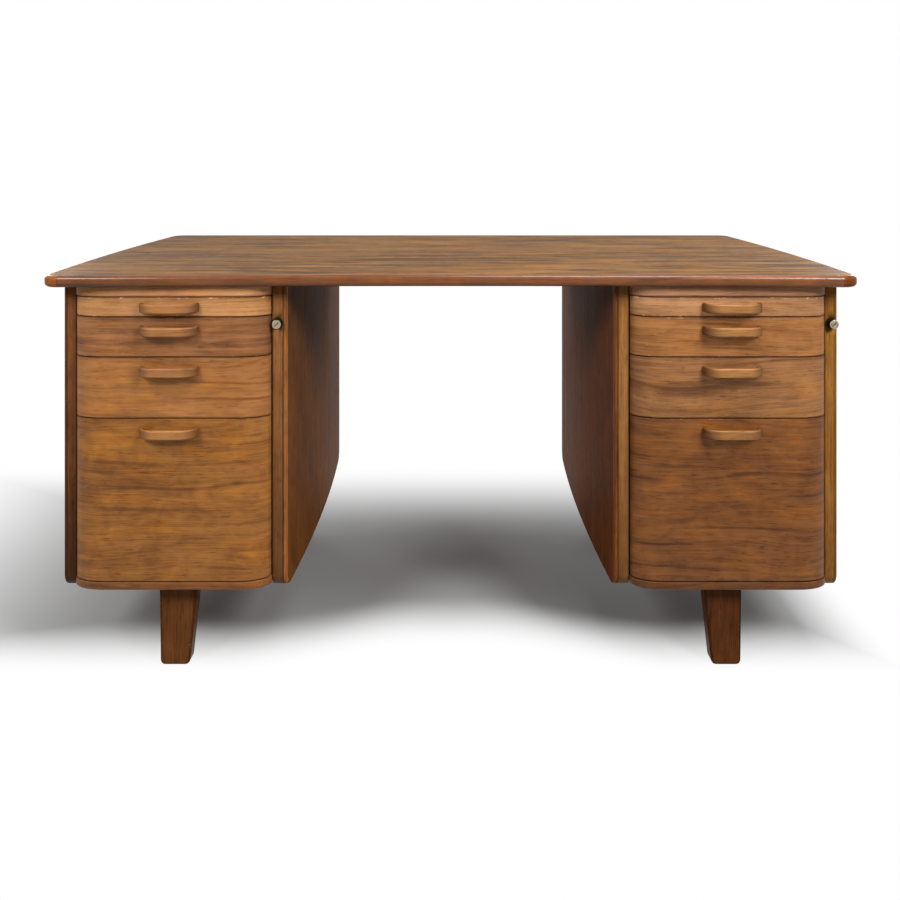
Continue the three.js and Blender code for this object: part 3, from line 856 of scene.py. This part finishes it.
def bent_outline(half, return_y, inset):
    """The plan of a bent front: straight across the middle and turned back at each end along a
    quarter of an ellipse. The inner face follows a smaller ellipse. The grain runs with the
    bend, so each point has its length along it and its depth behind the face. The edge share
    falls evenly from 1 at each end of the front to 0 further in."""
    flat_half = half - bend_width
    bend = front_bend(half, half - inset, return_y - inset, inset)
    face_x, face_y = mirrored_run(*bend, flat_half, flat_y + inset)
    angle = np.linspace(0, np.pi / 2, bend_steps + 1)
    back_x = flat_half + (bend_width - return_thickness + inset) * np.cos(angle)
    back_y = return_y - inset - (return_y - flat_y - front_thickness) * np.sin(angle)
    back_x, back_y = mirrored_run(back_x, back_y, flat_half, flat_y + front_thickness - inset)
    length = run_length(face_x, face_y)
    from_end = np.minimum(length, length[:, -1:] - length)
    # painted shade and dirt: each front darkens towards its ends, where it turns back beside a stile
    end_edge = np.clip(1 - from_end / end_dirt_and_shade_length, 0, 1)
    depth = np.hypot(back_x - face_x, back_y - face_y)
    pairs = [
        (face_x, back_x), (face_y, back_y), (length, length),
        (0 * depth, depth), (end_edge, 0 * end_edge),
    ]
    return [there_and_back(first, second) for first, second in pairs]


def build_bent_piece(name, node, arris, margin, material, body, slot):
    """A front or rail on the bent plan, with small roundings along its upper and lower edges."""
    low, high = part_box(node)
    z, inset, edge = rounded_edges(low.z, high.z, arris, arris, margin)
    half, middle = (high.x - low.x) / 2, (high.x + low.x) / 2
    x, y, length, depth, end_edge = bent_outline(half, high.y, inset)
    rings, grain = stacked(middle + x, y, z), stacked(length, z, depth)
    piece = solid_piece(name, rings, material, grain, np.maximum(edge, end_edge), "rungs")
    place_piece(piece, body, slot, node)


def build_bottom_board(hand, side, material):
    """Its front follows the bends inside the stiles, and behind them it fills the bowed sides."""
    node = f"{hand}_bottom_board"
    low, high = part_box(node)
    z, inset = rounded_edges(low.z, high.z, nose_radius, board_arris, board_margin)[:2]
    front_low, front_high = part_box(f"{hand}_top_rail")
    half = (front_high.x - front_low.x) / 2
    middle = abs(front_high.x + front_low.x) / 2
    shoulder_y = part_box(f"{hand}_inner_stile")[1].y + joint_gap
    bend_x, bend_y = front_bend(half, half + 0 * inset, shoulder_y + 0 * inset, inset)
    y = shoulder_y + (high.y - shoulder_y) * np.linspace(0, 1, panel_steps)[None, :]
    outer = outer_x(y) - panel_thickness - joint_gap, y
    inner = kneehole_x(y) + panel_thickness + joint_gap, y
    bend = middle - bend_x, bend_y
    x, y = joined(bend, backwards((middle + bend_x, bend_y)), outer, backwards(inner))
    board = solid_piece(f"{hand}_base_board", stacked(side * x, y, z), material)
    place_piece(board, "root", "stile_wood", node)


def dress(node, material):
    """Gives a kept solid its material."""
    for slot in cad_nodes[node].material_slots:
        slot.material = material


rail_tones = {
    "left": ((232, 169, 116), (153, 97, 57)),
    "right": ((205, 150, 111), (129, 85, 57)),
}
board_tones = {
    "left": ((156, 98, 48), (81, 46, 21)),
    "right": ((120, 73, 35), (61, 32, 13)),
}
runner_tones = ((196, 164, 116), (142, 106, 66))
rear_rail_tones = ((192, 160, 114), (140, 104, 66))
back_tones = ((118, 80, 50), (60, 38, 24))
frame_wood = varnished_wood("frame_wood", "YZX", *runner_tones, gloss=0.6, line=-0.2)
rear_rail_wood = varnished_wood("rear_rail_wood", "XZY", *rear_rail_tones, gloss=0.6)
for hand, side in hands.items():
    rail_wood = varnished_wood(f"{hand}_rail_wood", "bent", *rail_tones[hand],
                               shift=rail_log_shifts[hand], line=-0.2)
    build_bent_piece(f"{hand}_apron_rail", f"{hand}_top_rail", rail_arris, board_margin, rail_wood,
                     "root", "stile_wood")
    board_wood = varnished_wood(f"{hand}_board_wood", "XYZ", *board_tones[hand],
                                shift=board_log_shift * side)
    build_bottom_board(hand, side, board_wood)
    dress(f"{hand}_back_panel", varnished_wood(f"{hand}_back_veneer", "ZXY", *back_tones,
                                               shift=back_log_shift * side))
    dress(f"{hand}_rear_rail", rear_rail_wood)
    for which in ("inner", "outer"):
        dress(f"{hand}_{which}_runner_board", frame_wood)

# The drawers
# Each has a front of bent wood veneered with level grain, every sheet from a different log,
# and a plain pale box with grooved sides that slides on the runners.
drawer_arris = 0.0012
drawer_margin = 0.0016
drawer_log_shift = 11
drawer_step_shift = 2.3
front_slots = {1: "front_light", 2: "front_dark", 3: "front_mid", 4: "front_warm"}
drawer_tones = {
    "left_drawer_1": ((212, 155, 106), (141, 93, 45)),
    "left_drawer_2": ((171, 115, 72), (85, 49, 27)),
    "left_drawer_3": ((186, 127, 73), (116, 70, 34)),
    "left_drawer_4": ((175, 116, 55), (96, 55, 26)),
    "right_drawer_1": ((202, 148, 105), (116, 77, 42)),
    "right_drawer_2": ((178, 120, 70), (97, 58, 27)),
    "right_drawer_3": ((166, 115, 72), (90, 55, 31)),
    "right_drawer_4": ((143, 89, 43), (67, 36, 16)),
}
drawer_figures = {
    1: {"blotch": 0.9, "streak": 0.9, "line": -0.15, "amber": 0.5, "chips": 1.0},
    2: {"blotch": 0.9, "streak": 1.1, "amber": 0.5, "chips": 0.6},
    3: {"sway": 0.08, "blotch": 0.8, "streak": 0.8, "line": -0.45, "chips": 0.3},
    4: {"sway": 0.08, "streak": 0.6, "mottle": 0.7, "amber": 1.0, "chips": 0.4},
}
box_tones = ((212, 180, 130), (164, 126, 80))
box_wood = varnished_wood("drawer_box_wood", "YZX", *box_tones, gloss=0.58)
for hand, side in hands.items():
    for number, figure in drawer_figures.items():
        drawer = f"{hand}_drawer_{number}"
        shift = drawer_step_shift * number + drawer_log_shift * side
        front_wood = varnished_wood(f"{drawer}_veneer", "bent", *drawer_tones[drawer], shift=shift,
                                    soil=0.4, **figure)
        build_bent_piece(f"{drawer}_bent_front", f"{drawer}_front", drawer_arris, drawer_margin,
                         front_wood, drawer, front_slots[number])
        dress(f"{drawer}_tray", box_wood)

# The handles
# Strips of bentwood, screwed on from inside the drawers. Each runs straight across the
# middle and curves back to the front at both ends, and all its edges are rounded.
handle_bend = 0.030
handle_thickness = 0.007
handle_edge_radius = 0.0026
handle_margin = 0.0004
handle_bend_steps = 16
handle_log_shift = 5
handle_step_shift = 1.7


def build_handle(drawer, material):
    """The outer face is a quarter ellipse, a straight run and a quarter ellipse; the inner face
    is the same with both half-axes shorter by the strip's thickness. The edge share rises from
    0 at the start of each bend to 1 at its end, where the handle is darkened most."""
    node = f"{drawer}_handle"
    low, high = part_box(node)
    z, inset = rounded_edges(low.z, high.z, handle_edge_radius, handle_edge_radius, handle_margin)[:2]
    half, middle = (high.x - low.x) / 2, (high.x + low.x) / 2
    reach = high.y - low.y
    flat_half = half - handle_bend
    angle = np.linspace(0, np.pi / 2, handle_bend_steps)
    runs = []
    for thickness, turn in ((0, -1), (handle_thickness, 1)):
        bend_x = flat_half + (handle_bend - thickness + turn * inset) * np.cos(angle)
        bend_y = high.y - (reach - thickness + turn * inset) * np.sin(angle)
        runs.append(mirrored_run(bend_x, bend_y, flat_half, low.y + thickness - turn * inset))
    (face_x, face_y), (back_x, back_y) = runs
    x, y = there_and_back(face_x, back_x), there_and_back(face_y, back_y)
    length = run_length(face_x, face_y)
    length = there_and_back(length, length)
    depth = there_and_back(0 * face_x, 0 * back_x + handle_thickness)
    # the handle darkens towards the ends of its bends
    edge = np.clip((np.abs(x) - flat_half) / handle_bend, 0, 1)
    handle = solid_piece(f"{drawer}_bentwood_handle", stacked(middle + x, y, z), material,
                         stacked(length, z, depth), edge, "rungs")
    place_piece(handle, drawer, "handle_wood", node)


handle_end_darkening = {"left": 0.7, "right": 0.85}
handle_tones = {
    "left": ((181, 127, 79), (113, 68, 36)),
    "right": ((178, 126, 73), (106, 64, 31)),
}
for hand, side in hands.items():
    for number in drawer_figures:
        shift = handle_step_shift * number + handle_log_shift * side
        handle_wood = varnished_wood(f"{hand}_handle_{number}_wood", "bent", *handle_tones[hand],
                                     shift=shift, soil=handle_end_darkening[hand])
        build_handle(f"{hand}_drawer_{number}", handle_wood)

# The legs
# Tapered solid planks below the bottom boards, nearly upright outside and slanting inside.
# The soles' corners are rounded, and the front and rear legs are alike.
leg_arris = 0.003
sole_corner_radius = 0.010
sole_edge_radius = 0.004
leg_outer_taper = 0.002
leg_inner_taper = 0.016
leg_depth_taper = 0.006
leg_steps = 14
leg_log_shift = 4


def build_leg(hand, side, end, material):
    """Rounded four-cornered rings from the sole up: each side runs straight from its place at
    the sole to its place at the top, less the cut of the rounded sole."""
    node = f"{hand}_{end}_leg"
    low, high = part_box(node)
    angle = np.linspace(0, np.pi / 2, edge_steps)
    sole = sole_corner_radius * (1 - np.cos(angle))
    z = np.concatenate([sole, np.linspace(sole[-1], high.z, leg_steps)[1:]])[:, None]
    rise_share = z / high.z
    cut = corner_cut(z, sole_corner_radius)
    inner, outer = sorted([abs(low.x), abs(high.x)])
    near = inner + leg_inner_taper * (1 - rise_share) + cut
    far = outer - leg_outer_taper * (1 - rise_share) - cut
    cut = corner_cut(z, sole_edge_radius)
    rear, face = sorted([abs(low.y), abs(high.y)])
    front = -face + cut
    back = -rear - leg_depth_taper * (1 - rise_share) - cut
    x, y, edge = four_cornered(front, back, near, far, far, [leg_arris] * 4, leg_arris)
    turn = 1 if end == "front" else -1
    leg = solid_piece(f"{hand}_{end}_plank_leg", stacked(side * x, turn * y, z), material, edge=edge)
    place_piece(leg, "root", "leg_wood", node)


leg_tones = {
    "left": ((128, 78, 39), (67, 38, 16)),
    "right": ((110, 62, 31), (57, 30, 12)),
}
for hand, side in hands.items():
    leg_wood = varnished_wood(f"{hand}_leg_wood", "ZXY", *leg_tones[hand],
                              shift=leg_log_shift * side, shine=0.04, chips=0.5)
    for end in ("front", "rear"):
        build_leg(hand, side, end, leg_wood)

# The locks
# A round nickel push lock with a slanting key slot stands out of one stile of each pedestal,
# in a tarnished brass housing. Pressed in, it lifts a steel bar behind the stile.
rim_radius = 0.0009
face_dome = 0.0003
slot_length = 0.011
slot_width = 0.0018
slot_depth = 0.003
slot_slant = np.radians(45)
flange_thickness = 0.0012
flange_round = 0.0004
housing_wall = 0.0012
face_y_gap = 0.0009
face_y_full = 0.0014
spot_rates = [420, 420, 420]
spot_limits = (0.5, 0.7)
spot_share = 0.6
cloud_rates = [90, 90, 90]
cloud_limits = (0.45, 0.75)
tarnish_roughness = 0.25
metal_relief = 0.0002
metal_relief_strength = 0.2
shade_black = (0.012, 0.009, 0.007, 1)
lathe_steps = 72


def turned(name, profile, middle, material, ends="faces"):
    """A lathe shape about an axis along Y: each (radius, y) of the profile becomes one ring."""
    angle = np.linspace(0, 2 * np.pi, lathe_steps, endpoint=False)
    radius, y = np.array(profile).T[:, :, None]
    rings = stacked(middle.x + radius * np.cos(angle), y, middle.z + radius * np.sin(angle))
    return solid_piece(name, rings, material, ends=ends)


def metal_finish(name, bright, dull, metallic, gloss, face_y=None):
    """Worn plated or bare metal, with dull spots where it has tarnished. With a face's place
    given, what lies behind it is painted black as shade."""
    finish = Finish(bpy.data.materials.new(name))
    place = wood_place(finish, "XYZ")
    spots = noise(finish, place, spot_rates, detail=4)
    cloud = noise(finish, place, cloud_rates, detail=3)
    tarnish = spots.rising(*spot_limits) * spot_share + cloud.rising(*cloud_limits) * (1 - spot_share)
    colour = mixed(finish, tarnish, paint(bright), paint(dull))
    if face_y is not None:
        # painted shade: the side wall behind the face is blackened
        behind = (place[1] - face_y).rising(face_y_gap, face_y_full)
        colour = mixed(finish, behind, colour, shade_black)
        tarnish = tarnish.maximum(behind)
    relief = {"Strength": metal_relief_strength, "Distance": metal_relief, "Height": spots}
    inputs = {
        "Base Color": colour,
        "Metallic": 1 - tarnish * (1 - metallic),
        "Roughness": tarnish * tarnish_roughness + gloss,
        "Normal": finish.node("ShaderNodeBump", {}, relief),
    }
    return finish.closed(finish.node("ShaderNodeBsdfPrincipled", {}, inputs))


def build_housing(hand, material):
    node = f"{hand}_lock_housing"
    low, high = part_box(node)
    flange, inner = (high.x - low.x) / 2, bore_radius - joint_gap - housing_wall
    wall = inner + housing_wall
    flange_back, flange_front = low.y + flange_thickness, low.y + flange_round
    profile = [
        (inner, high.y), (inner, flange_front), (inner + flange_round, low.y),
        (flange - flange_round, low.y), (flange, flange_front), (flange, flange_back),
        (wall, flange_back), (wall, high.y),
    ]
    housing = turned(f"{hand}_lock_collar", profile, (low + high) / 2, material, "joined")
    place_piece(housing, "root", "dark_brass", node)


def build_plunger(hand, material):
    """A cylinder with a slightly domed face, y = face + dome * (r / radius)², and a rounded rim."""
    node = f"{hand}_lock_plunger"
    low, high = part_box(node)
    radius, middle = (high.x - low.x) / 2, (low + high) / 2
    face_radii = np.linspace(radius / edge_steps, radius - rim_radius, edge_steps)
    face = np.stack([face_radii, low.y + face_dome * (face_radii / radius) ** 2], axis=1)
    angle = np.linspace(0, np.pi / 2, edge_steps)[1:]
    rim_radii = radius - rim_radius * (1 - np.sin(angle))
    rim = np.stack([rim_radii, face[-1, 1] + rim_radius * (1 - np.cos(angle))], axis=1)
    profile = np.concatenate([face, rim, [[radius, high.y]]])
    plunger = turned(f"{hand}_push_lock", profile, middle, material)
    along = np.array([np.cos(slot_slant), np.sin(slot_slant)]) * slot_length / 2
    over = np.array([-np.sin(slot_slant), np.cos(slot_slant)]) * slot_width / 2
    corners = np.array([along + over, over - along, -along - over, along - over])
    y = np.array([[low.y - slot_depth], [low.y + slot_depth]])
    slot = stacked(middle.x + corners[:, 0], y, middle.z + corners[:, 1])
    cut_away(plunger, solid_piece("slot", slot, material))
    place_piece(plunger, f"{hand}_lock_plunger_body", "nickel", node)


lock_face_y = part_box("left_lock_plunger")[0].y
nickel_tones = ((168, 158, 130), (92, 80, 60))
brass_tones = ((60, 48, 34), (26, 20, 15))
steel_tones = ((150, 150, 148), (92, 88, 84))
nickel = metal_finish("worn_nickel", *nickel_tones, metallic=0.6, gloss=0.34, face_y=lock_face_y)
dark_brass = metal_finish("tarnished_brass", *brass_tones, metallic=0.7, gloss=0.45)
steel = metal_finish("bare_steel", *steel_tones, metallic=0.8, gloss=0.36)
for hand in hands:
    build_housing(hand, dark_brass)
    build_plunger(hand, nickel)
    dress(f"{hand}_lock_bar", steel)
